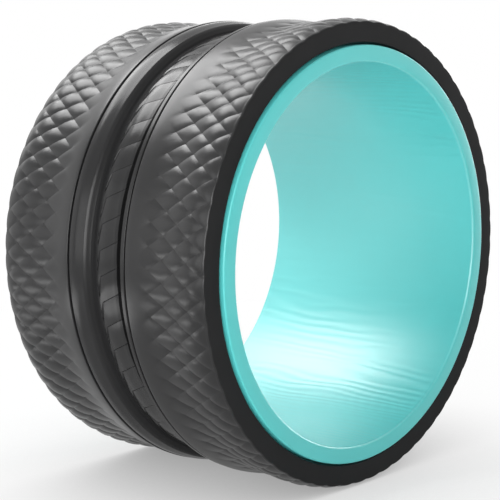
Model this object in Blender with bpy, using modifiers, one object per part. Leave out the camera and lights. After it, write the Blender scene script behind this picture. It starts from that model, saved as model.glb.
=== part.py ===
"""Back roller: a plastic hoop that carries two quilted foam tread pads with a spinal canal between them.

The hoop's axis is the Y axis and the origin is the centre of the hoop. The roller stands on its tread,
and its near side faces -Y. All sizes are in metres.
"""

import math

import bmesh
import bpy
from mathutils import Matrix, Vector

# Overall sizes
OVERALL_DIAMETER = 0.254
OVERALL_WIDTH = 0.152
HOOP_WALL = 0.0093
TREAD_THICKNESS = 0.0142

# The gap between pieces that touch, where the glue line is
SEAT_GAP = 0.0003

# Hoop
HOOP_STEPS = 80
RIM_INNER_ROUND = 0.0016
RIM_OUTER_ROUND = 0.0010
RIM_ROUND_SEGMENTS = 2

# Tread pads
SIDE_RECESS = 0.0016
SIDE_INNER_CHAMFER = 0.0012
SHOULDER_WIDTH = 0.0090
SHOULDER_DROP = 0.0020
SADDLE_DEPTH = 0.0018
# Below 1, the saddle is lowest nearer the canal
SADDLE_LEAN = 0.85
PARTING_ROUND = 0.0012
PARTING_SEGMENTS = 2

# Quilting of the tread pads
DIAMOND_WIDTH = 0.0121
DIAMOND_LENGTH = 0.0180
QUILT_EDGE = 0.0024
SMOOTH_BAND = 0.0046
GROOVE_DEPTH = 0.0014
GROOVE_HALF_WIDTH = 0.0019
GROOVE_FADE = 0.0180

# Spinal canal
CANAL_WIDTH = 0.0422
CANAL_DEPTH = 0.0050
STRIP_RECESS = 0.0002
LIP_WIDTH = 0.0030
VALLEY_OFFSET = 0.0102
SPINE_RISE = 0.0016
LEAF_PITCH = 0.0138
LEAF_STEP = 0.0005
LEAF_EDGE_WIDTH = 0.0007
LEAF_HOOK_OFFSET = 0.0020
LEAF_END = 0.0050
LEAF_SLANT = math.radians(1.6)
LEAF_HOOK = math.radians(3.6)

# Radii and distances from the mid-plane that follow from the sizes above
CREST_RADIUS = OVERALL_DIAMETER / 2
HOOP_RADIUS = CREST_RADIUS - TREAD_THICKNESS
BORE_RADIUS = HOOP_RADIUS - HOOP_WALL
SEAT_RADIUS = HOOP_RADIUS + SEAT_GAP
SIDE_OFFSET = OVERALL_WIDTH / 2 - SIDE_RECESS
PAD_INNER_OFFSET = (CANAL_WIDTH + SEAT_GAP) / 2
STRIP_OFFSET = (CANAL_WIDTH - SEAT_GAP) / 2
LIP_OFFSET = PAD_INNER_OFFSET + PARTING_ROUND
SHOULDER_OFFSET = SIDE_OFFSET - SHOULDER_WIDTH
QUILT_OUTER = SIDE_OFFSET - QUILT_EDGE
QUILT_ROWS = max(2, round((QUILT_OUTER - LIP_OFFSET - SMOOTH_BAND) / (DIAMOND_LENGTH / 2)))
ROW_STEP = (QUILT_OUTER - LIP_OFFSET - SMOOTH_BAND) / QUILT_ROWS
QUILT_INNER = QUILT_OUTER - QUILT_ROWS * ROW_STEP
DIAMONDS_ROUND = round(2 * math.pi * CREST_RADIUS / DIAMOND_WIDTH)
STRIP_RADIUS = CREST_RADIUS - STRIP_RECESS
VALLEY_RADIUS = STRIP_RADIUS - CANAL_DEPTH
LEAVES_ROUND = round(2 * math.pi * VALLEY_RADIUS / LEAF_PITCH)
LEAF_START = -VALLEY_OFFSET

# Edges that turn by more than this are shaded sharp
SHARP_ANGLE = math.radians(50)

# Colours, linear
TEAL = (0.13, 0.62, 0.62, 1.0)
CHARCOAL = (0.045, 0.045, 0.047, 1.0)
BLACK = (0.030, 0.030, 0.032, 1.0)


def clear_scene():
    for old in list(bpy.data.objects):
        bpy.data.objects.remove(old, do_unlink=True)


def material(name, colour, roughness):
    made = bpy.data.materials.new(name)
    made.use_nodes = True
    shader = made.node_tree.nodes["Principled BSDF"]
    shader.inputs["Base Color"].default_value = colour
    shader.inputs["Roughness"].default_value = roughness
    shader.inputs["Metallic"].default_value = 0.0
    return made


def add_object(name, mesh, finish, collection):
    made = bpy.data.objects.new(name, mesh)
    collection.objects.link(made)
    mesh.materials.append(finish)
    mesh.shade_smooth()
    mesh.set_sharp_from_angle(angle=SHARP_ANGLE)
    return made


def clamped(value):
    return min(1.0, max(0.0, value))


def smooth_step(value):
    value = clamped(value)
    return value * value * (3 - 2 * value)


def arc(centre, radius, start, end, segments):
    """Points on a circular arc, both ends included; angles in degrees."""
    turn = [math.radians(start + (end - start) * i / segments) for i in range(segments + 1)]
    return [(centre[0] + radius * math.cos(t), centre[1] + radius * math.sin(t)) for t in turn]


def section_mesh(name, section):
    """A mesh with one closed section of (radius, height) points, for a Screw modifier about Z."""
    bm = bmesh.new()
    verts = [bm.verts.new((radius, 0, height)) for radius, height in section]
    for i, vert in enumerate(verts):
        bm.edges.new((vert, verts[(i + 1) % len(verts)]))
    mesh = bpy.data.meshes.new(name)
    bm.to_mesh(mesh)
    bm.free()
    return mesh


def hoop(collection, finish):
    """The core: one tube with flat rim faces and rounded rim edges, turned about its axis."""
    half = OVERALL_WIDTH / 2
    outer, inner = RIM_OUTER_ROUND, RIM_INNER_ROUND
    count = RIM_ROUND_SEGMENTS
    section = arc((HOOP_RADIUS - outer, half - outer), outer, 90, 0, count)
    section += arc((HOOP_RADIUS - outer, outer - half), outer, 0, -90, count)
    section += arc((BORE_RADIUS + inner, inner - half), inner, -90, -180, count)
    section += arc((BORE_RADIUS + inner, half - inner), inner, 180, 90, count)
    mesh = section_mesh("core_hoop", section)
    made = bpy.data.objects.new("core_hoop", mesh)
    collection.objects.link(made)
    mesh.materials.append(finish)
    made.rotation_euler = (math.radians(90), 0, 0)
    screw = made.modifiers.new("Turn", "SCREW")
    screw.axis = "Z"
    screw.angle = 2 * math.pi
    screw.steps = screw.render_steps = HOOP_STEPS
    screw.use_merge_vertices = True
    screw.merge_threshold = 0.00001
    screw.use_smooth_shade = True
    made.modifiers.new("Flat rims", "WEIGHTED_NORMAL")
    return made


def place(vert, radius, offset, angle=None):
    """Puts a vertex at a radius and a distance from the mid-plane towards -Y, at its own angle."""
    if angle is None:
        angle = math.atan2(vert.co.z, -vert.co.x)
    vert.co = Vector((-radius * math.cos(angle), -offset, radius * math.sin(angle)))


def crest_radius(offset):
    """The pad's surface without its grooves: a shallow saddle with a shoulder that falls to the side."""
    across = clamped((offset - LIP_OFFSET) / (SHOULDER_OFFSET - LIP_OFFSET)) ** SADDLE_LEAN
    saddle = SADDLE_DEPTH * math.sin(math.pi * across) ** 2
    drop = SHOULDER_DROP * clamped((offset - SHOULDER_OFFSET) / SHOULDER_WIDTH) ** 2
    return CREST_RADIUS - saddle - drop


def quilt_strength(offset):
    """How much of the quilting's depth is left: all of it at the side, none at the canal."""
    return smooth_step((offset - QUILT_INNER) / GROOVE_FADE)


def groove_radius(offset):
    return crest_radius(offset) - GROOVE_DEPTH * quilt_strength(offset)


def ring_at(bm, offset):
    """The open edges that lie at a distance from the mid-plane."""
    tolerance = 0.00001
    return [
        edge
        for edge in bm.edges
        if edge.is_boundary and all(abs(-vert.co.y - offset) < tolerance for vert in edge.verts)
    ]


def extend(bm, ring, radius, offset):
    """Extrudes a ring of edges to a new radius and distance from the mid-plane."""
    made = bmesh.ops.extrude_edge_only(bm, edges=ring)["geom"]
    verts = {item for item in made if isinstance(item, bmesh.types.BMVert)}
    for vert in verts:
        place(vert, radius, offset)
    return [item for item in made if isinstance(item, bmesh.types.BMEdge) and set(item.verts) <= verts]


def side_distance(face):
    """How far towards -Y the middle of a face lies."""
    return -face.calc_center_median().y


def quilted_sheet(bm):
    """The tread's face as a sheet of diamonds whose edges are the crossing grooves.

    The columns start at the ground, so that the roller stands between two grooves.
    """
    columns, rows = 2 * DIAMONDS_ROUND, QUILT_ROWS + 1
    grid = bmesh.ops.create_grid(bm, x_segments=columns, y_segments=rows, size=1.0)["verts"]
    crossings, centres = [], []
    for vert in grid:
        column = round((vert.co.x + 1) / 2 * columns)
        row = round((vert.co.y + 1) / 2 * rows)
        offset = QUILT_OUTER + ROW_STEP - row * ROW_STEP
        place(vert, groove_radius(offset), offset, (column / DIAMONDS_ROUND - 0.5) * math.pi)
        (crossings if (column + row) % 2 else centres).append(vert)
    bmesh.ops.connect_verts(bm, verts=crossings)
    bmesh.ops.remove_doubles(bm, verts=bm.verts, dist=0.00001)
    bmesh.ops.dissolve_verts(bm, verts=[vert for vert in centres if vert.is_valid])
    bmesh.ops.bisect_plane(
        bm,
        geom=bm.verts[:] + bm.edges[:] + bm.faces[:],
        dist=0.000001,
        plane_co=(0, -SIDE_OFFSET, 0),
        plane_no=(0, -1, 0),
        clear_outer=True,
    )
    for vert in bm.verts:
        place(vert, groove_radius(-vert.co.y), -vert.co.y)


def scallop_side(bm):
    """Splits the side's edge over each diamond, so that the diamond runs over the shoulder at full height."""
    over_diamonds = [edge for edge in ring_at(bm, SIDE_OFFSET) if len(edge.link_faces[0].verts) > 4]
    split = bmesh.ops.subdivide_edges(bm, edges=over_diamonds, cuts=1)["geom_inner"]
    for item in split:
        if isinstance(item, bmesh.types.BMVert):
            place(item, crest_radius(SIDE_OFFSET), SIDE_OFFSET)


def raise_pillows(bm):
    """Lifts each diamond inside its grooves to the crest, and the half diamonds at the smooth band."""
    diamonds = [face for face in bm.faces if len(face.verts) > 3]
    halves = [face for face in bm.faces if side_distance(face) < QUILT_INNER + ROW_STEP / 2]
    bmesh.ops.inset_individual(bm, faces=diamonds, thickness=GROOVE_HALF_WIDTH, use_even_offset=True)
    middles = bmesh.ops.poke(bm, faces=halves, center_mode="MEAN")["verts"]
    for vert in {vert for face in diamonds for vert in face.verts}.union(middles):
        place(vert, crest_radius(-vert.co.y), -vert.co.y)


def tread_pad(name, mirrored, collection, finish):
    """One pad: quilted face, flat side, bore on the hoop and a rounded edge at the canal's parting line."""
    bm = bmesh.new()
    quilted_sheet(bm)
    scallop_side(bm)
    raise_pillows(bm)
    outer = ring_at(bm, SIDE_OFFSET)
    inner = ring_at(bm, QUILT_INNER)
    parting = arc((LIP_OFFSET, CREST_RADIUS - PARTING_ROUND), PARTING_ROUND, 90, 180, PARTING_SEGMENTS)
    bore = [
        (PAD_INNER_OFFSET, SEAT_RADIUS),
        (SIDE_OFFSET - SIDE_INNER_CHAMFER, SEAT_RADIUS),
        (SIDE_OFFSET, SEAT_RADIUS + SIDE_INNER_CHAMFER),
    ]
    for offset, radius in parting + bore:
        inner = extend(bm, inner, radius, offset)
    bmesh.ops.bridge_loops(bm, edges=outer + inner)
    if mirrored:
        bmesh.ops.transform(bm, matrix=Matrix.Scale(-1, 4, (0, 1, 0)), verts=bm.verts)
    bmesh.ops.recalc_face_normals(bm, faces=bm.faces)
    mesh = bpy.data.meshes.new(name)
    bm.to_mesh(mesh)
    bm.free()
    return add_object(name, mesh, finish, collection)


def canal_radius(offset):
    """The canal's surface: two lips, two smooth valleys and a low spine between them."""
    across = abs(offset)
    if across < VALLEY_OFFSET:
        return VALLEY_RADIUS + SPINE_RISE * (1 + math.cos(math.pi * across / VALLEY_OFFSET)) / 2
    wall = STRIP_OFFSET - LIP_WIDTH - VALLEY_OFFSET
    return VALLEY_RADIUS + CANAL_DEPTH * smooth_step((across - VALLEY_OFFSET) / wall)


def leaf_turn(along):
    """How far a leaf's edge has turned round the canal at a distance along Y: a slant, then a hook."""
    slant = LEAF_SLANT * clamped((along - LEAF_START) / (LEAF_HOOK_OFFSET - LEAF_START))
    hook = LEAF_HOOK * clamped((along - LEAF_HOOK_OFFSET) / (LEAF_END - LEAF_HOOK_OFFSET))
    return -slant - hook


def on_leaf(along, radius):
    """True on the outside of the strip between the start of the leaves and the ends of their hooks."""
    return radius > SEAT_RADIUS + LEAF_STEP and LEAF_START <= round(along, 6) <= LEAF_END


def canal_section():
    """Closed section of the strip as (distance along Y, radius), from the -Y lip over to the +Y lip."""
    top = STRIP_OFFSET - PARTING_ROUND
    lip = arc((-top, STRIP_RADIUS - PARTING_ROUND), PARTING_ROUND, 180, 90, PARTING_SEGMENTS)
    wall_top = STRIP_OFFSET - LIP_WIDTH
    wall_height = wall_top - VALLEY_OFFSET
    wall = [VALLEY_OFFSET + part * wall_height for part in (0.3, 0.7, 1.0)]
    spine = [LEAF_START, LEAF_START / 2, 0.0, LEAF_HOOK_OFFSET, LEAF_END, VALLEY_OFFSET]
    inside = [-along for along in reversed(wall)] + spine + wall
    floor = [(along, canal_radius(along)) for along in inside]
    other_lip = [(-along, radius) for along, radius in reversed(lip)]
    seat = [(STRIP_OFFSET, SEAT_RADIUS), (-STRIP_OFFSET, SEAT_RADIUS)]
    return lip + floor + other_lip + seat


def canal_strip(collection, finish):
    """The strip between the pads: a spun section, with two columns to a leaf that make its raised edge."""
    bm = bmesh.new()
    section = [bm.verts.new((-radius, along, 0)) for along, radius in canal_section()]
    edges = [bm.edges.new((vert, section[(i + 1) % len(section)])) for i, vert in enumerate(section)]
    columns = 2 * LEAVES_ROUND
    turn = 2 * math.pi
    bmesh.ops.spin(bm, geom=section + edges, axis=(0, 1, 0), angle=turn, steps=columns, use_merge=True)

    # Every vertex knows its column, its distance along Y and whether the leaves reach it
    known = {}
    for vert in bm.verts:
        radius = math.hypot(vert.co.x, vert.co.z)
        column = round(math.atan2(vert.co.z, -vert.co.x) / turn * columns) % columns
        known[vert] = (column, vert.co.y, radius, on_leaf(vert.co.y, radius))
    for vert, (column, along, radius, leaf) in known.items():
        angle = (column - column % 2) * turn / columns
        if column % 2:
            angle += LEAF_EDGE_WIDTH / VALLEY_RADIUS if leaf else turn / columns
        if radius > SEAT_RADIUS + LEAF_STEP:
            angle += leaf_turn(along)
        raised = leaf and LEAF_START < along < LEAF_END and not column % 2
        place(vert, radius + (LEAF_STEP if raised else 0.0), -along, angle)

    # Away from the leaves one column to a leaf is enough
    spare = []
    for edge in bm.edges:
        (column, _, _, leaf), (other_column, _, _, other_leaf) = (known[vert] for vert in edge.verts)
        if column == other_column and column % 2 and not (leaf and other_leaf):
            spare.append(edge)
    bmesh.ops.dissolve_edges(bm, edges=spare, use_verts=True)
    bmesh.ops.recalc_face_normals(bm, faces=bm.faces)
    mesh = bpy.data.meshes.new("canal_strip")
    bm.to_mesh(mesh)
    bm.free()
    return add_object("canal_strip", mesh, finish, collection)


def main():
    clear_scene()
    collection = bpy.data.collections.new("back_roller")
    bpy.context.scene.collection.children.link(collection)
    hoop(collection, material("teal_plastic", TEAL, 0.30))
    foam = material("charcoal_foam", CHARCOAL, 0.75)
    tread_pad("near_tread_pad", False, collection, foam)
    tread_pad("far_tread_pad", True, collection, foam)
    canal_strip(collection, material("black_foam", BLACK, 0.70))


main()
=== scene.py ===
# %% [markdown]
# A back roller is a stiff plastic hoop with a foam tread glued round it. The tread is quilted with
# diamonds, and a smooth canal down its middle leaves room for the spine. This lesson makes the
# parts that show, finishes them, and sets them up in a plain white studio to be photographed.
#
# The construction model gives the real sizes and places. Its pieces are coarse, so each of them is
# modelled again here with a finer surface, in the same place.

# %% Load the construction model
import math

import bmesh
import bpy
from mathutils import Matrix, Vector

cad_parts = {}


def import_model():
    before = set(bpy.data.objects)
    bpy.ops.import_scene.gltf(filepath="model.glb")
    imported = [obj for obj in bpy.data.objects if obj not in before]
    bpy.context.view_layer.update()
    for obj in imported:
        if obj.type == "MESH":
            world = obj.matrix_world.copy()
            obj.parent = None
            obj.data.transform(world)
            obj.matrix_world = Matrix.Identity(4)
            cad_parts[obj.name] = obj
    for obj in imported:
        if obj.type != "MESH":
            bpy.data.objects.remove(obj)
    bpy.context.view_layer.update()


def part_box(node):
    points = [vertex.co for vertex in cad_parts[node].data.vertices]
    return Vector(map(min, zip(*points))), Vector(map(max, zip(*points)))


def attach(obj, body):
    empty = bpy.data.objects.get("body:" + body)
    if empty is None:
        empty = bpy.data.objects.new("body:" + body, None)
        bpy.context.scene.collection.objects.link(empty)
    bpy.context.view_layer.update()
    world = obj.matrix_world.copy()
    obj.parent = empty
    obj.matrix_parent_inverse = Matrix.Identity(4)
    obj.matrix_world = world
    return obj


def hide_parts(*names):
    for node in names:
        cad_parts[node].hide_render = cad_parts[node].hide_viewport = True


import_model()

# %% [markdown]
# The sizes come in two kinds. Those that the construction model holds are measured on its pieces,
# so the two can't drift apart. Those of the quilting and the canal, which no box can tell, are
# written down in their own steps. The quilting has the same sizes in both, and the canal is about
# a millimetre deeper here.
#
# A place on the roller is told by three numbers: its radius, its distance from the mid-plane, and
# its angle round the hoop. The angle is 0 at the side that faces the camera's left, and it grows
# upwards.

# %% Sizes measured on the construction model
hoop_low, hoop_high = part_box("core_hoop")
pad_low, pad_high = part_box("near_tread_pad")
strip_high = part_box("canal_strip")[1]
HALF_WIDTH = -hoop_low.y
HOOP_RADIUS = hoop_high.x
CREST_RADIUS = pad_high.x
SIDE_OFFSET = -pad_low.y
PAD_INNER_OFFSET = -pad_high.y
STRIP_OFFSET = strip_high.y
STRIP_RADIUS = strip_high.x
FLOOR_HEIGHT = -CREST_RADIUS
print("crest radius", round(CREST_RADIUS, 4), "hoop radius", round(HOOP_RADIUS, 4))

# %% [markdown]
# The wall of the hoop and the thin gap that stands for the glue don't show in any box either, so
# they are written down next.

# %% Sizes that are written down
HOOP_WALL = 0.0093
SEAT_GAP = 0.0003
BORE_RADIUS = HOOP_RADIUS - HOOP_WALL
SEAT_RADIUS = HOOP_RADIUS + SEAT_GAP
print("bore radius", round(BORE_RADIUS, 4), "foam seats at", round(SEAT_RADIUS, 4))

# %% [markdown]
# Most shapes here are rings, so a few helpers for places come first. One puts a vertex at its
# radius, distance and angle. Two keep or ease a value between 0 and 1. One gives the points of a
# small arc, for edges that are rounded.

# %% Helpers for places
FULL_TURN = 2 * math.pi


def place(vert, radius, offset, angle=None):
    """Puts a vertex at a radius, a distance towards the near rim, and an angle or its own one."""
    if angle is None:
        angle = math.atan2(vert.co.z, -vert.co.x)
    vert.co = Vector((-radius * math.cos(angle), -offset, radius * math.sin(angle)))


def clamped(value):
    """The value, kept between 0 and 1."""
    return min(1.0, max(0.0, value))


def smooth_step(value):
    """The value, eased from 0 to 1 with a soft start and end."""
    value = clamped(value)
    return value * value * (3 - 2 * value)


def arc(centre, radius, start, end, segments):
    """Points on a circular arc, both ends included; angles in degrees."""
    turn = [math.radians(start + (end - start) * i / segments) for i in range(segments + 1)]
    return [(centre[0] + radius * math.cos(t), centre[1] + radius * math.sin(t)) for t in turn]


# %% [markdown]
# A ring is made by drawing its section once and spinning it round the axis. A finished bmesh then
# becomes an object with its finishes. The roller's own pieces are shaded smooth, and the edges
# that should look crisp are marked sharp.

# %% Helpers for pieces
AXIS = (0, 1, 0)
PIECES = bpy.data.collections.new("back_roller")
bpy.context.scene.collection.children.link(PIECES)


def spun(section, steps):
    """Spins a closed section, given as (radius, distance along Y), right round the axis."""
    bm = bmesh.new()
    verts = [bm.verts.new((-radius, along, 0)) for radius, along in section]
    edges = [bm.edges.new((vert, verts[(i + 1) % len(verts)])) for i, vert in enumerate(verts)]
    geom = verts + edges
    bmesh.ops.spin(bm, geom=geom, axis=AXIS, angle=FULL_TURN, steps=steps, use_merge=True)
    return bm


def made_object(name, bm, finishes, collection):
    """Makes an object with its finishes from a bmesh."""
    mesh = bpy.data.meshes.new(name)
    bm.to_mesh(mesh)
    bm.free()
    for finish in finishes:
        mesh.materials.append(finish)
    made = bpy.data.objects.new(name, mesh)
    collection.objects.link(made)
    return made


def finished_piece(name, bm, finishes, sharp_angle):
    """Makes a smooth piece of the roller, with edges that turn more than the angle left sharp."""
    bmesh.ops.recalc_face_normals(bm, faces=bm.faces)
    made = made_object(name, bm, finishes, PIECES)
    made.data.shade_smooth()
    made.data.set_sharp_from_angle(angle=math.radians(sharp_angle))
    triangles = sum(len(face.vertices) - 2 for face in made.data.polygons)
    print(name, "has", triangles, "triangles")
    return made


# %% [markdown]
# The camera stands a little above the middle of the roller and sees its near end from the left. A
# long lens keeps the two ends nearly the same size, as in a catalogue picture. The place is given
# the way a photographer would say it: a bearing, a height angle, a distance, and how far the aim
# is off the centre of the near rim. The lights are placed the same way later on.

# %% Camera
VIEW_BEARING = math.radians(-48.13)
VIEW_HEIGHT = math.radians(7.13)
VIEW_DISTANCE = 0.7937
AIM_RIGHT = -0.0626
AIM_UP = 0.0032
LENS = 106.2
SENSOR_WIDTH = 36.0
NEAREST_SEEN = 0.01


def direction(bearing, height):
    """The way out from the roller. Bearing 0 is straight off the near rim, and it grows to +X."""
    flat = math.cos(height)
    return Vector((math.sin(bearing) * flat, -math.cos(bearing) * flat, math.sin(height)))


def looking_back(way):
    """The turn of a camera or lamp that stands out that way and faces the roller."""
    return way.to_track_quat("Z", "Y").to_euler()


back = direction(VIEW_BEARING, VIEW_HEIGHT)
right = (-back).cross(Vector((0, 0, 1))).normalized()
up = right.cross(-back)
aim = Vector((0, -HALF_WIDTH, 0)) + right * AIM_RIGHT + up * AIM_UP
lens_data = bpy.data.cameras.new("camera")
lens_data.lens = LENS
lens_data.sensor_width = SENSOR_WIDTH
lens_data.clip_start = NEAREST_SEEN
camera = bpy.data.objects.new("camera", lens_data)
camera.location = aim + back * VIEW_DISTANCE
camera.rotation_euler = looking_back(back)
bpy.context.scene.collection.objects.link(camera)
bpy.context.scene.camera = camera
print("camera at", tuple(round(value, 3) for value in camera.location))

# %% [markdown]
# The materials are built from nodes, and each starts from the Principled shader. The helpers that
# follow serve them all: they make a material, add a node with its settings, read the piece's own
# coordinates, and join two numbers.

# %% Material helpers


def new_finish(name, colour, roughness, specular):
    """A Principled material with its plain values set on the shader's own sockets."""
    made = bpy.data.materials.new(name)
    made.use_nodes = True
    shader = made.node_tree.nodes["Principled BSDF"]
    shader.inputs["Base Color"].default_value = (*colour, 1.0)
    shader.inputs["Roughness"].default_value = roughness
    shader.inputs["Specular IOR Level"].default_value = specular
    print("finish", name)
    return made, made.node_tree, shader


def add_node(tree, kind, values):
    """Adds a node and sets its input sockets by name."""
    node = tree.nodes.new(kind)
    for socket, value in values.items():
        node.inputs[socket].default_value = value
    return node


def join(tree, operation, first, second):
    """Adds or multiplies two shares. The result is a share too, so it is kept between 0 and 1."""
    node = tree.nodes.new("ShaderNodeMath")
    node.operation = operation
    node.use_clamp = True
    tree.links.new(first, node.inputs[0])
    tree.links.new(second, node.inputs[1])
    return node.outputs[0]


def own_place(tree, stretch=(1.0, 1.0, 1.0)):
    """Coordinates in the piece's own space. The stretch slows a pattern down along an axis."""
    coordinates = tree.nodes.new("ShaderNodeTexCoord")
    mapping = add_node(tree, "ShaderNodeMapping", {"Scale": stretch})
    tree.links.new(coordinates.outputs["Object"], mapping.inputs["Vector"])
    return mapping.outputs["Vector"]


# %% [markdown]
# No real surface is quite even. Noise can help in three ways: it lets the colour drift between two
# close shades, it makes the gloss uneven, and it raises a fine bump. A noise seldom leaves the
# middle of its range, so that middle is spread over the values that are wanted. Some sockets of
# the Mix node share a name, so its sockets are told by number.

# %% Noise helpers
NOISE_LOW = 0.3
NOISE_HIGH = 0.7
MIX_SHARE, MIX_FIRST_COLOUR, MIX_SECOND_COLOUR, MIX_RESULT = 0, 6, 7, 2


def noise(tree, scale, detail, stretch=(1.0, 1.0, 1.0)):
    """Noise in the piece's own space."""
    node = add_node(tree, "ShaderNodeTexNoise", {"Scale": scale, "Detail": detail})
    tree.links.new(own_place(tree, stretch), node.inputs["Vector"])
    return node.outputs["Fac"]


def spread(tree, source, low, high):
    """Maps a noise to a range of values."""
    ranges = {"From Min": NOISE_LOW, "From Max": NOISE_HIGH, "To Min": low, "To Max": high}
    node = add_node(tree, "ShaderNodeMapRange", ranges)
    tree.links.new(source, node.inputs["Value"])
    return node.outputs["Result"]


def tint(tree, shader, source, dark, light):
    """Lets the colour drift between two close shades."""
    mix = tree.nodes.new("ShaderNodeMix")
    mix.data_type = "RGBA"
    mix.inputs[MIX_FIRST_COLOUR].default_value = (*dark, 1.0)
    mix.inputs[MIX_SECOND_COLOUR].default_value = (*light, 1.0)
    tree.links.new(spread(tree, source, 0.0, 1.0), mix.inputs[MIX_SHARE])
    tree.links.new(mix.outputs[MIX_RESULT], shader.inputs["Base Color"])


def add_bump(tree, shader, source, depth, strength):
    """Wires a height into the shader's normal, with its depth in metres."""
    bump = add_node(tree, "ShaderNodeBump", {"Strength": strength, "Distance": depth})
    tree.links.new(source, bump.inputs["Height"])
    tree.links.new(bump.outputs["Normal"], shader.inputs["Normal"])
    tree.links.new(bump.outputs["Normal"], shader.inputs["Coat Normal"])


# %% [markdown]
# The hoop is moulded in a glossy teal plastic. A flat colour would look like paint, so the shade
# drifts very slightly, and the gloss has the faint unevenness of a moulded skin.

# %% Teal plastic of the rim
TEAL = (0.112, 0.655, 0.640)
TEAL_DEEP = (0.102, 0.625, 0.612)


def teal_rim():
    made, tree, shader = new_finish("teal_rim", TEAL, roughness=0.32, specular=0.5)
    tint(tree, shader, noise(tree, scale=18.0, detail=2.0), TEAL_DEEP, TEAL)
    gloss = noise(tree, scale=45.0, detail=3.0)
    tree.links.new(spread(tree, gloss, low=0.30, high=0.36), shader.inputs["Roughness"])
    add_bump(tree, shader, noise(tree, scale=900.0, detail=2.0), depth=0.00002, strength=0.4)
    return made


# %% [markdown]
# The bore shows long wavy streaks along its axis where light glances off it, probably left by the
# mould. A wave texture draws fine lines, slowed down along the axis and pushed about by its own
# noise, so that they wander. A second noise fades them in and out. They only bend the shine, as
# real ones do, and a clear coat makes that shine wide and pale.

# %% Teal plastic of the bore
# The bore's teal is the rim's plastic painted a little darker, as painted shade inside the tube.
PAINTED_SHADE_TEAL = (0.112, 0.600, 0.595)
PAINTED_SHADE_TEAL_DEEP = (0.102, 0.575, 0.570)
COAT_ROUGHNESS = 0.42
GRAIN_SCALE = 78.0
GRAIN_STRETCH = 0.22
GRAIN_WANDER = 15.0
GRAIN_DEPTH = 0.00012


def teal_bore():
    made, tree, shader = new_finish("teal_bore", PAINTED_SHADE_TEAL, roughness=0.38, specular=0.9)
    shader.inputs["Coat Weight"].default_value = 1.0
    shader.inputs["Coat Roughness"].default_value = COAT_ROUGHNESS
    tint(tree, shader, noise(tree, scale=14.0, detail=2.0), PAINTED_SHADE_TEAL_DEEP, PAINTED_SHADE_TEAL)
    wave = {"Scale": GRAIN_SCALE, "Distortion": GRAIN_WANDER, "Detail": 2.0, "Detail Scale": 0.5}
    grain = add_node(tree, "ShaderNodeTexWave", wave)
    tree.links.new(own_place(tree, (1.0, GRAIN_STRETCH, 1.0)), grain.inputs["Vector"])
    patches = spread(tree, noise(tree, scale=22.0, detail=1.0, stretch=(1.0, 0.5, 1.0)), 0.1, 1.0)
    lines = join(tree, "MULTIPLY", grain.outputs["Fac"], patches)
    add_bump(tree, shader, lines, depth=GRAIN_DEPTH, strength=1.0)
    return made


# %% [markdown]
# The tread's foam has a closed skin, dark and a little waxy, so it isn't matt: it is almost black
# where it faces away from the light and pale grey where light glances off it. Fine pores break the
# shine. The cut side of a pad has no skin, so it is duller and its pores are deeper.

# %% Foam skins
CHARCOAL = (0.013, 0.013, 0.0135)
CHARCOAL_WORN = (0.015, 0.015, 0.0155)
BLACK = (0.017, 0.017, 0.0175)
BLACK_WORN = (0.019, 0.019, 0.0195)
# A darker black, painted shade for the canal's steep near wall.
PAINTED_SHADE_BLACK = (0.004, 0.004, 0.0042)
PAINTED_SHADE_BLACK_PALER = (0.006, 0.006, 0.0062)
CUT_EDGE = (0.025, 0.025, 0.0255)
CUT_EDGE_WORN = (0.027, 0.027, 0.0275)
PORE_DEPTH = 0.00002
OPEN_PORE_DEPTH = 0.00004


def foam_skin(name, fresh, worn, roughness, specular, pore_depth=PORE_DEPTH):
    made, tree, shader = new_finish(name, fresh, roughness, specular)
    tint(tree, shader, noise(tree, scale=40.0, detail=4.0), fresh, worn)
    rub = noise(tree, scale=70.0, detail=3.0)
    rubbed = spread(tree, rub, low=roughness - 0.02, high=roughness + 0.03)
    tree.links.new(rubbed, shader.inputs["Roughness"])
    add_bump(tree, shader, noise(tree, scale=1400.0, detail=2.0), depth=pore_depth, strength=0.35)
    return made


# %% [markdown]
# The hoop is one tube with flat rim faces. Its section is drawn once, with small arcs at the four
# edges, and spun round the axis. A finely rounded edge catches a thin line of light, which a sharp
# one never does. The bore gets its own material, painted a little darker than the rim as shade.

# %% Hoop
HOOP_STEPS = 288
HOOP_SHARP_ANGLE = 40
RIM_INNER_ROUND = 0.0016
RIM_OUTER_ROUND = 0.0010
RIM_ROUND_SEGMENTS = 6


def hoop_section():
    """Closed section as (radius, distance along Y), from the far rim's outer edge right round."""
    outer, inner = RIM_OUTER_ROUND, RIM_INNER_ROUND
    count = RIM_ROUND_SEGMENTS
    section = arc((HOOP_RADIUS - outer, HALF_WIDTH - outer), outer, 90, 0, count)
    section += arc((HOOP_RADIUS - outer, outer - HALF_WIDTH), outer, 0, -90, count)
    section += arc((BORE_RADIUS + inner, inner - HALF_WIDTH), inner, -90, -180, count)
    section += arc((BORE_RADIUS + inner, HALF_WIDTH - inner), inner, 180, 90, count)
    return section


def hoop():
    bm = spun(hoop_section(), HOOP_STEPS)
    for face in bm.faces:
        middle = face.calc_center_median()
        in_bore = math.hypot(middle.x, middle.z) < BORE_RADIUS + RIM_INNER_ROUND / 2
        face.material_index = int(in_bore)
    return finished_piece("hoop", bm, [teal_rim(), teal_bore()], HOOP_SHARP_ANGLE)


hoop_piece = hoop()

# %% [markdown]
# The tread's surface without its quilting is a shallow saddle: it is highest at the canal's lip
# and at the shoulder, and dips between them. At the side a soft shoulder falls away. Working this
# out as a function of the distance from the mid-plane lets every later step ask for the height
# anywhere.

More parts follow.
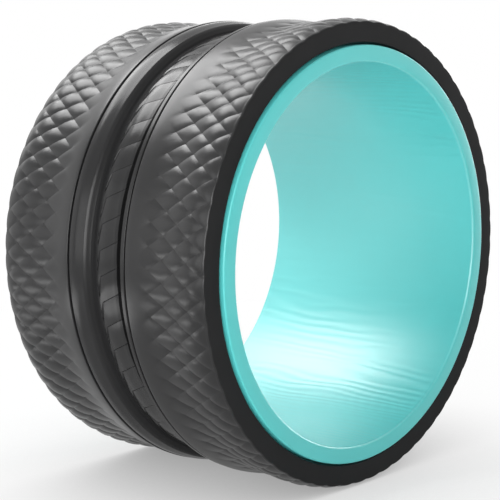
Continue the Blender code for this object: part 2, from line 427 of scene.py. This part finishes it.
# %% Form of the tread
PARTING_OFFSET = (PAD_INNER_OFFSET + STRIP_OFFSET) / 2
PARTING_HALF_WIDTH = 0.0006
PARTING_DEPTH = 0.0030
PARTING_ROUND = 0.0005
SHOULDER_WIDTH = 0.0090
SHOULDER_DROP = 0.0020
SADDLE_DEPTH = 0.0018
SADDLE_LEAN = 0.85
LIP_OFFSET = PARTING_OFFSET + PARTING_HALF_WIDTH + PARTING_ROUND
SHOULDER_OFFSET = SIDE_OFFSET - SHOULDER_WIDTH


def crest_radius(offset):
    """The height of the pillows' crests at a distance from the mid-plane."""
    across = clamped((offset - LIP_OFFSET) / (SHOULDER_OFFSET - LIP_OFFSET)) ** SADDLE_LEAN
    saddle = SADDLE_DEPTH * math.sin(math.pi * across) ** 2
    drop = SHOULDER_DROP * clamped((offset - SHOULDER_OFFSET) / SHOULDER_WIDTH) ** 2
    return CREST_RADIUS - saddle - drop


for share in (0.0, 0.5, 1.0):
    offset = LIP_OFFSET + (SIDE_OFFSET - LIP_OFFSET) * share
    print("tread at", round(offset, 4), "is", round(crest_radius(offset), 4), "high")

# %% [markdown]
# Sixty-six diamonds go round, and their rows are half a diamond apart. The grooves are deepest
# beside the shoulder. They fade out towards the canal, and get shallow again where the shoulder
# meets the side.

# %% Quilting
DIAMOND_WIDTH = 0.0121
DIAMOND_LENGTH = 0.0180
QUILT_EDGE = 0.0024
SMOOTH_BAND = 0.0046
QUILT_DEPTH = 0.0013
GROOVE_FADE = 0.0180
SIDE_FADE = 0.0060
SIDE_QUILT = 0.40
PILLOW_FULLNESS = 2.6
QUILT_PHASE = math.radians(25.2)
QUILT_OUTER = SIDE_OFFSET - QUILT_EDGE
QUILT_ROWS = round((QUILT_OUTER - LIP_OFFSET - SMOOTH_BAND) / (DIAMOND_LENGTH / 2))
ROW_STEP = (QUILT_OUTER - LIP_OFFSET - SMOOTH_BAND) / QUILT_ROWS
QUILT_INNER = QUILT_OUTER - QUILT_ROWS * ROW_STEP
DIAMONDS_ROUND = round(FULL_TURN * CREST_RADIUS / DIAMOND_WIDTH)
COLUMN_TURN = math.pi / DIAMONDS_ROUND


def quilt_strength(offset):
    """How deep the quilting is: 0 at the canal, 1 on the shoulder, and less again at the side."""
    side = smooth_step((SIDE_OFFSET - offset) / SIDE_FADE)
    inward = smooth_step((offset - QUILT_INNER) / GROOVE_FADE)
    return inward * (SIDE_QUILT + (1 - SIDE_QUILT) * side)


def pillow_drop(across, around):
    """How far a pillow has fallen from its crest, by where a point lies between its sides."""
    return (abs(across) ** PILLOW_FULLNESS + abs(around) ** PILLOW_FULLNESS) / 2


print(DIAMONDS_ROUND, "diamonds round,", QUILT_ROWS, "rows", round(ROW_STEP * 1000, 2), "mm apart")

# %% [markdown]
# One pillow starts as a small flat grid, because a grid gives even quads that shade well. Its two
# directions run along the diamond's sides, so turning it by an eighth and stretching it makes the
# diamond. A column of such pillows is bent onto the tread, and a spin that duplicates copies the
# column round the hoop.

# %% Quilted sheet
PILLOW_GRID = 9
CUT_TOLERANCE = 0.000001
MERGE_DISTANCE = 0.00002


def pillow(bm, row):
    """One diamond of the quilting, with its centre on a row, bent onto the tread."""
    centre_offset = QUILT_OUTER - row * ROW_STEP
    centre_angle = QUILT_PHASE + (row % 2) * COLUMN_TURN
    grid = bmesh.ops.create_grid(bm, x_segments=PILLOW_GRID, y_segments=PILLOW_GRID, size=1.0)
    for vert in grid["verts"]:
        across, around = vert.co.x, vert.co.y
        offset = centre_offset + ROW_STEP * (across + around) / 2
        angle = centre_angle + COLUMN_TURN * (across - around) / 2
        drop = QUILT_DEPTH * quilt_strength(offset) * pillow_drop(across, around)
        place(vert, crest_radius(offset) - drop, offset, angle)


def cut_off(bm, offset, direction_along):
    """Removes what lies past a distance from the mid-plane."""
    bmesh.ops.bisect_plane(
        bm,
        geom=bm.verts[:] + bm.edges[:] + bm.faces[:],
        dist=CUT_TOLERANCE,
        plane_co=(0, -offset, 0),
        plane_no=(0, direction_along, 0),
        clear_outer=True,
    )


def quilted_sheet(bm, outer_offset):
    """The whole quilting of a pad, from one column of pillows."""
    for row in range(-1, QUILT_ROWS + 1):
        pillow(bm, row)
    cut_off(bm, outer_offset, -1)
    cut_off(bm, QUILT_INNER, 1)
    copies = DIAMONDS_ROUND - 1
    bmesh.ops.spin(
        bm,
        geom=bm.verts[:] + bm.edges[:] + bm.faces[:],
        axis=AXIS,
        angle=FULL_TURN * copies / DIAMONDS_ROUND,
        steps=copies,
        use_duplicate=True,
    )
    bmesh.ops.remove_doubles(bm, verts=bm.verts, dist=MERGE_DISTANCE)


# %% [markdown]
# The rest of the pad grows from the sheet's two open edges by extruding them, ring after ring.
# These helpers find an open edge, extrude it to a new place, and roll it over the rounded corner
# into the side. In the corner each vertex starts from its own height, so the scallops of the
# quilting run out over it.

# %% Rings of the pad
SIDE_ROUND = 0.0012
ROUND_START = SIDE_OFFSET - SIDE_ROUND
ROUND_SEGMENTS = 9
RING_TOLERANCE = 0.00001


def ring_at(bm, offset):
    """The open edges that lie at a distance from the mid-plane."""
    open_edges = [edge for edge in bm.edges if edge.is_boundary]
    return [
        edge
        for edge in open_edges
        if all(abs(-vert.co.y - offset) < RING_TOLERANCE for vert in edge.verts)
    ]


def extrude_ring(bm, ring):
    """Extrudes a ring of edges on the spot, and gives the new edges and vertices."""
    made = bmesh.ops.extrude_edge_only(bm, edges=ring)["geom"]
    verts = {item for item in made if isinstance(item, bmesh.types.BMVert)}
    edges = [item for item in made if isinstance(item, bmesh.types.BMEdge)]
    return [edge for edge in edges if set(edge.verts) <= verts], verts


def grow(bm, ring, radius, offset):
    """Extrudes a ring to a new radius and distance from the mid-plane."""
    edges, verts = extrude_ring(bm, ring)
    for vert in verts:
        place(vert, radius, offset)
    return edges


def round_shoulder(bm, ring):
    """Rolls the quilted edge over into the side, each vertex from its own height."""
    fallen = 0.0
    for step in range(1, ROUND_SEGMENTS + 1):
        turn = math.pi / 2 * step / ROUND_SEGMENTS
        fall = SIDE_ROUND * (1 - math.cos(turn))
        ring, verts = extrude_ring(bm, ring)
        for vert in verts:
            height = math.hypot(vert.co.x, vert.co.z)
            place(vert, height - (fall - fallen), ROUND_START + SIDE_ROUND * math.sin(turn))
        fallen = fall
    return ring


# %% [markdown]
# One way the rings go over the shoulder, down the side and round its inner edge to the hoop. The
# other way they go over the smooth band and down into the parting line at the canal. A bridge
# between the two last rings closes the pad along its seat. The far pad is the near one, mirrored.

# %% Tread pads
SIDE_FACE_RADIUS = 0.1225
SIDE_INNER_ROUND = 0.0004
SIDE_GAP = 0.0010
SIDE_GAP_DEPTH = 0.0030
BAND_RINGS = 4
PAD_SHARP_ANGLE = 11


def side_rings(bm):
    """Grows the pad from its quilting over the shoulder and down the side to its seat."""
    ring = round_shoulder(bm, ring_at(bm, ROUND_START))
    ring = grow(bm, ring, SIDE_FACE_RADIUS, SIDE_OFFSET)
    corner = (SEAT_RADIUS + SIDE_GAP + SIDE_INNER_ROUND, SIDE_OFFSET - SIDE_INNER_ROUND)
    for radius, offset in arc(corner, SIDE_INNER_ROUND, 90, 180, ROUND_SEGMENTS):
        ring = grow(bm, ring, radius, offset)
    return grow(bm, ring, SEAT_RADIUS, SIDE_OFFSET - SIDE_GAP_DEPTH)


def canal_rings(bm):
    """Grows the pad from its quilting over the smooth band and down to its seat."""
    ring = ring_at(bm, QUILT_INNER)
    for step in range(1, BAND_RINGS):
        offset = QUILT_INNER + (LIP_OFFSET - QUILT_INNER) * step / BAND_RINGS
        ring = grow(bm, ring, crest_radius(offset), offset)
    corner = (LIP_OFFSET, CREST_RADIUS - PARTING_ROUND)
    for offset, radius in arc(corner, PARTING_ROUND, 90, 180, ROUND_SEGMENTS):
        ring = grow(bm, ring, radius, offset)
    ring = grow(bm, ring, CREST_RADIUS - PARTING_DEPTH, PAD_INNER_OFFSET)
    return grow(bm, ring, SEAT_RADIUS, PAD_INNER_OFFSET)


def tread_pad(name, mirrored, finishes):
    bm = bmesh.new()
    quilted_sheet(bm, ROUND_START)
    outer = side_rings(bm)
    inner = canal_rings(bm)
    bmesh.ops.bridge_loops(bm, edges=outer + inner)
    for face in bm.faces:
        on_side = -face.calc_center_median().y > SIDE_OFFSET - SIDE_INNER_ROUND / 2
        face.material_index = int(on_side)
    if mirrored:
        bmesh.ops.transform(bm, matrix=Matrix.Scale(-1, 4, AXIS), verts=bm.verts)
    return finished_piece(name, bm, finishes, PAD_SHARP_ANGLE)


tread_skin = foam_skin("tread_skin", CHARCOAL, CHARCOAL_WORN, 0.30, 0.34)
cut_edge = foam_skin("cut_edge", CUT_EDGE, CUT_EDGE_WORN, 0.60, 0.02, OPEN_PORE_DEPTH)
near_tread = tread_pad("near_tread", False, [tread_skin, cut_edge])
far_tread = tread_pad("far_tread", True, [tread_skin, cut_edge])

# %% [markdown]
# The canal is a separate strip of foam between the pads. On the near side its wall drops steeply
# from the lip. On the far side a wide shoulder falls first, and then a shorter wall. The floor
# between them is nearly flat, with a low spine along its middle. The form is written as a function
# of the distance along the axis, so that the mesh can ask for it at any row.

# %% Form of the canal
CANAL_DEPTH = 0.0060
NEAR_EDGE = 0.0182
NEAR_FOOT = 0.0116
NEAR_HOLLOW = 2.5
FAR_SHOULDER_FALL = 0.0018
FAR_SHOULDER_START = 0.0185
FAR_SHOULDER_FOOT = 0.0095
FAR_WALL_START = 0.0118
FAR_WALL_FOOT = 0.0078
SPINE_HALF_WIDTH = 0.0080
SPINE_RISE = 0.0005


def canal_fall(along):
    """How far the canal lies below its lips, without its spine."""
    if along < 0:
        left = 1 - clamped((NEAR_EDGE + along) / (NEAR_EDGE - NEAR_FOOT))
        return CANAL_DEPTH * (1 - left**NEAR_HOLLOW)
    shoulder = smooth_step((FAR_SHOULDER_START - along) / (FAR_SHOULDER_START - FAR_SHOULDER_FOOT))
    wall = smooth_step((FAR_WALL_START - along) / (FAR_WALL_START - FAR_WALL_FOOT))
    return FAR_SHOULDER_FALL * shoulder + (CANAL_DEPTH - FAR_SHOULDER_FALL) * wall


def canal_radius(along):
    """The canal's height without its leaves."""
    spine = SPINE_RISE * (1 + math.cos(math.pi * clamped(abs(along) / SPINE_HALF_WIDTH))) / 2
    return STRIP_RADIUS - canal_fall(along) + spine


for along in (-0.012, 0.0, 0.009, 0.015):
    print("canal at", along, "is", round((STRIP_RADIUS - canal_radius(along)) * 1000, 2), "mm deep")

# %% [markdown]
# Leaf-shaped lines are pressed into the canal's floor. Each line starts at the foot of the near
# wall, slants over the floor and ends in a hook. The lines too are written as functions of the
# distance along the axis.

# %% Leaf lines
LEAVES_ROUND = 56
LEAF_TURN = FULL_TURN / LEAVES_ROUND
LEAF_PHASE = math.radians(0.5)
LEAF_START = -0.0125
LEAF_HOOK_OFFSET = 0.0021
LEAF_END = 0.0048
LEAF_SLANT = math.radians(3.2)
LEAF_HOOK = math.radians(4.0)
LEAF_HOOK_CURVE = 1.8
LEAF_CROWN = 0.00025
LINE_DEPTH = 0.00023
LINE_WIDTH = 0.00045
LINE_FADE = 0.0012
HOOK_FADE = 0.0003
SLOPE_STEP = 0.0001
VALLEY_RADIUS = STRIP_RADIUS - CANAL_DEPTH


def leaf_turn(along):
    """How far a leaf's line has turned round the canal: a slant, then a hook."""
    slant = LEAF_SLANT * clamped((along - LEAF_START) / (LEAF_HOOK_OFFSET - LEAF_START))
    hook = clamped((along - LEAF_HOOK_OFFSET) / (LEAF_END - LEAF_HOOK_OFFSET)) ** LEAF_HOOK_CURVE
    return -slant - LEAF_HOOK * hook


def half_line(along):
    """Half a line's width round the canal as a share of a leaf, wider where it slants more."""
    turned = leaf_turn(along + SLOPE_STEP) - leaf_turn(along - SLOPE_STEP)
    rise = turned / (2 * SLOPE_STEP) * VALLEY_RADIUS
    return LINE_WIDTH / 2 * math.sqrt(1 + rise * rise) / (LEAF_TURN * VALLEY_RADIUS)


def leaf_reach(along):
    """1 where the leaves are full, falling to 0 at both ends of their lines."""
    started = smooth_step((along - LEAF_START) / LINE_FADE)
    return started * smooth_step((LEAF_END - along) / HOOK_FADE)


print(LEAVES_ROUND, "leaves round,", round(LEAF_TURN * VALLEY_RADIUS * 1000, 2), "mm apart")

# %% [markdown]
# The strip's section runs over the near lip, across the canal, over the far lip and back along the
# seat. Its rows are closest where the form bends most, in the walls and in the hooks of the
# leaves.

# %% Section of the canal strip
SECTION_ROWS = [4, 12, 14, 16, 4, 12, 12]


def canal_rows(top):
    """Distances along the axis for the rows between the lips, which end at the distance given."""
    marks = [-top, -NEAR_EDGE, LEAF_START, LEAF_HOOK_OFFSET, LEAF_END]
    marks += [FAR_WALL_FOOT, FAR_WALL_START, top]
    rows = []
    for start, end, count in zip(marks, marks[1:], SECTION_ROWS):
        rows += [start + (end - start) * i / count for i in range(count)]
    return rows[1:]


def canal_section():
    """Closed section as (radius, distance along Y), over the near lip first, and the seat last."""
    top = PARTING_OFFSET - PARTING_HALF_WIDTH - PARTING_ROUND
    corner = (-top, STRIP_RADIUS - PARTING_ROUND)
    near_lip = [(STRIP_RADIUS - PARTING_DEPTH, -STRIP_OFFSET)]
    for along, radius in arc(corner, PARTING_ROUND, 180, 90, ROUND_SEGMENTS):
        near_lip.append((radius, along))
    bottom = [(canal_radius(along), along) for along in canal_rows(top)]
    far_lip = [(radius, -along) for radius, along in reversed(near_lip)]
    seat = [(SEAT_RADIUS, STRIP_OFFSET), (SEAT_RADIUS, -STRIP_OFFSET)]
    return near_lip + bottom + far_lip + seat


print("the section has", len(canal_section()), "points")

# %% [markdown]
# The leaf lines are thin, and a plain grid would break them up. So once the section is spun, the
# strip's columns are pushed sideways to run along the leaves, and are drawn close together beside
# each line. The line is then just one column that lies lower.

# %% Columns along the leaves
LEAF_COLUMNS = 12
CANAL_COLUMNS = LEAF_COLUMNS * LEAVES_ROUND


def column_share(column, half):
    """Where a column lies between two lines: on a line, at its edges, or spaced between them."""
    if column == 0:
        return 0.0
    if column == 1:
        return half
    if column == LEAF_COLUMNS - 1:
        return 1 - half
    return half + (1 - 2 * half) * ((column - 1) / (LEAF_COLUMNS - 2))


def press_leaf(vert):
    """Moves a vertex of the spun strip along its leaf, and up or down with the leaf's form."""
    along = vert.co.y
    number = round(math.atan2(vert.co.z, -vert.co.x) / FULL_TURN * CANAL_COLUMNS) % CANAL_COLUMNS
    leaf, column = divmod(number, LEAF_COLUMNS)
    share = column_share(column, half_line(along))
    reach = leaf_reach(along)
    crown = LEAF_CROWN * math.sin(math.pi * share) * reach
    line = LINE_DEPTH * reach if column == 0 else 0.0
    radius = math.hypot(vert.co.x, vert.co.z) + crown - line
    place(vert, radius, -along, (leaf + share) * LEAF_TURN + leaf_turn(along) + LEAF_PHASE)


# %% [markdown]
# The near wall and the crease at the foot of the far one carry painted shade: they shine less than
# the rest, and the near wall, the steeper one, is painted darker too. They get finishes of their
# own, by their distance along the axis, with a narrow edge between them and the plain skin.

# %% Canal strip
CANAL_SHARP_ANGLE = 25
CANAL_SKINS = [
    ("canal_skin", BLACK, BLACK_WORN, 0.21, 0.22),
    ("crease_edge_painted_shade_skin", BLACK, BLACK_WORN, 0.24, 0.14),
    ("crease_painted_shade_skin", BLACK, BLACK_WORN, 0.35, 0.03),
    ("painted_shade_skin", PAINTED_SHADE_BLACK, PAINTED_SHADE_BLACK_PALER, 0.35, 0.01),
]
# Bands of painted shade along the axis, with the finish each takes.
PAINTED_SHADE_BANDS = [
    (-0.0182, -0.0090, "painted_shade_skin"),
    (-0.0090, -0.0072, "crease_edge_painted_shade_skin"),
    (0.0056, 0.0066, "crease_edge_painted_shade_skin"),
    (0.0066, 0.0090, "crease_painted_shade_skin"),
    (0.0090, 0.0104, "crease_edge_painted_shade_skin"),
]
SKIN_NAMES = [values[0] for values in CANAL_SKINS]


def skin_number(along):
    """The place in the list of the skin at a distance along the axis, 0 being the plain one."""
    for start, end, name in PAINTED_SHADE_BANDS:
        if start < along < end:
            return SKIN_NAMES.index(name)
    return 0


def canal():
    bm = spun(canal_section(), CANAL_COLUMNS)
    for vert in bm.verts:
        if math.hypot(vert.co.x, vert.co.z) >= SEAT_RADIUS + SEAT_GAP:
            press_leaf(vert)
    for face in bm.faces:
        face.material_index = skin_number(face.calc_center_median().y)
    finishes = [foam_skin(*values) for values in CANAL_SKINS]
    return finished_piece("canal", bm, finishes, CANAL_SHARP_ANGLE)


canal_piece = canal()

# %% [markdown]
# The studio is plain: a pale floor and large soft lights. What the camera sees of the floor is
# mixed from two shaders. The smaller share is white paint under the lamps, with the shadow they
# cast. The larger is a white glow that Ambient Occlusion dims near the roller: a painted shadow,
# soft and even like that of a light tent. Further out the floor is plain white, like the
# background.

# %% Floor
FLOOR_SIZE = 6.0
FLOOR_COLOUR = (0.80, 0.80, 0.80)
SHADE_REACH = 0.30
SHADE_SAMPLES = 16
SHADE_DEEPEST = 0.38
SHADE_ENDS = 0.85
SOFT_SHARE = 0.90
CLEAR_FROM = 0.30
CLEAR_AT = 0.60


def sees_background(tree):
    """1 for rays that the camera or a reflection sends out, 0 for those that carry light."""
    path = tree.nodes.new("ShaderNodeLightPath").outputs
    seen = join(tree, "ADD", path["Is Camera Ray"], path["Is Glossy Ray"])
    return join(tree, "ADD", seen, path["Is Transmission Ray"])


def glow_share(tree):
    """How much of the floor is glow: most of it near the roller, and all of it further out."""
    away = tree.nodes.new("ShaderNodeVectorMath")
    away.operation = "LENGTH"
    tree.links.new(own_place(tree), away.inputs[0])
    ranges = {"From Min": CLEAR_FROM, "From Max": CLEAR_AT, "To Min": SOFT_SHARE, "To Max": 1.0}
    clear = add_node(tree, "ShaderNodeMapRange", ranges)
    clear.interpolation_type = "SMOOTHSTEP"
    tree.links.new(away.outputs["Value"], clear.inputs["Value"])
    return join(tree, "MULTIPLY", sees_background(tree), clear.outputs["Result"])


def glow_with_painted_shadow(tree):
    """A white glow, dimmed into a painted shadow near whatever stands on the floor."""
    shade = add_node(tree, "ShaderNodeAmbientOcclusion", {"Distance": SHADE_REACH})
    shade.samples = SHADE_SAMPLES
    level = add_node(tree, "ShaderNodeMapRange", {"From Max": SHADE_ENDS, "To Min": SHADE_DEEPEST})
    glow = tree.nodes.new("ShaderNodeEmission")
    tree.links.new(shade.outputs["AO"], level.inputs["Value"])
    tree.links.new(level.outputs["Result"], glow.inputs["Strength"])
    return glow.outputs["Emission"]


def floor_finish():
    made, tree, shader = new_finish("floor_white", FLOOR_COLOUR, roughness=0.9, specular=0.0)
    both = tree.nodes.new("ShaderNodeMixShader")
    for number, source in enumerate((glow_share(tree), shader.outputs["BSDF"], glow_with_painted_shadow(tree))):
        tree.links.new(source, both.inputs[number])
    tree.links.new(both.outputs["Shader"], tree.nodes["Material Output"].inputs["Surface"])
    return made


def floor():
    bm = bmesh.new()
    bmesh.ops.create_grid(bm, x_segments=1, y_segments=1, size=FLOOR_SIZE / 2)
    bmesh.ops.translate(bm, vec=(0, 0, FLOOR_HEIGHT), verts=bm.verts)
    made = made_object("floor", bm, [floor_finish()], bpy.context.scene.collection)


floor()

# %% [markdown]
# The world is white where the camera or a reflection looks at it, and gives no light of its own.
# The lamps alone then decide how the roller is lit.

# %% Background


def world():
    made = bpy.data.worlds.new("studio")
    made.use_nodes = True
    bpy.context.scene.world = made
    sky = made.node_tree.nodes["Background"]
    sky.inputs["Color"].default_value = (1.0, 1.0, 1.0, 1.0)
    made.node_tree.links.new(sees_background(made.node_tree), sky.inputs["Strength"])
    print("world", made.name)


world()

# %% [markdown]
# The main light is a wide panel high up behind the roller, to the camera's left. It glances off the
# tops of the pillows and leaves their lower sides dark, which is what shows the quilting. Two more
# stand near the ground, one by the camera and one far round to its right, for the rim and the bore.
# Four weak ones lift the darkest sides.

# %% Lights
PANEL_SIZE = 0.9
PANEL_DISTANCE = 1.4
PANELS = [
    ("high_behind_left", 240, 60, 21.0),
    ("low_front", 0, 5, 17.5),
    ("low_behind_right", 135, 5, 20.0),
    ("low_left", 315, 5, 5.0),
    ("low_behind", 180, 5, 3.0),
    ("left", 270, 5, 1.5),
    ("behind_left", 225, 30, 2.0),
]


def square_light(name, size, power, location, turn):
    """A soft square light that the camera doesn't see."""
    data = bpy.data.lights.new(name, "AREA")
    data.shape = "SQUARE"
    data.size = size
    data.energy = power
    made = bpy.data.objects.new(name, data)
    made.location = location
    made.rotation_euler = turn
    made.visible_camera = False
    bpy.context.scene.collection.objects.link(made)
    print(name, "shines with", power, "watts")


def panel(name, bearing, height, power):
    """A light that faces the roller. Its bearing is in degrees from the camera's, to the right."""
    way = direction(VIEW_BEARING + math.radians(bearing), math.radians(height))
    square_light(name, PANEL_SIZE, power, way * PANEL_DISTANCE, looking_back(way))


for values in PANELS:
    panel(*values)

# %% [markdown]
# A small bright card lies on the floor to the left of the tread, as photographers lay one down to
# lift a dark side. It puts a soft shine on the lower left of the foam. It faces up, so the floor
# gets none of its light.

# %% Card on the floor
CARD_SIZE = 0.18
CARD_POWER = 0.32
CARD_PLACE = (-0.33, 0.20)
CARD_RISE = 0.001
FACE_UP = (math.pi, 0, 0)

card_location = (*CARD_PLACE, FLOOR_HEIGHT + CARD_RISE)
square_light("floor_card", CARD_SIZE, CARD_POWER, card_location, FACE_UP)

# %% [markdown]
# With the Standard transform a colour comes out as it is written, and a strength of 1 is white.

# %% Colour handling
bpy.context.scene.view_settings.view_transform = "Standard"
print("view transform", bpy.context.scene.view_settings.view_transform)

# %% [markdown]
# Last, each new piece is listed with the piece of the construction model that it stands for and the
# name of its finish. It is tied to the body it moves with, and the piece it stands for is hidden.

# %% Tie the pieces to the construction model
STANDS_FOR = [
    (hoop_piece, "core_hoop", "hoop_plastic"),
    (near_tread, "near_tread_pad", "tread_foam"),
    (far_tread, "far_tread_pad", "tread_foam"),
    (canal_piece, "canal_strip", "canal_foam"),
]
for piece, node, slot in STANDS_FOR:
    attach(piece, "root")
    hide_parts(node)
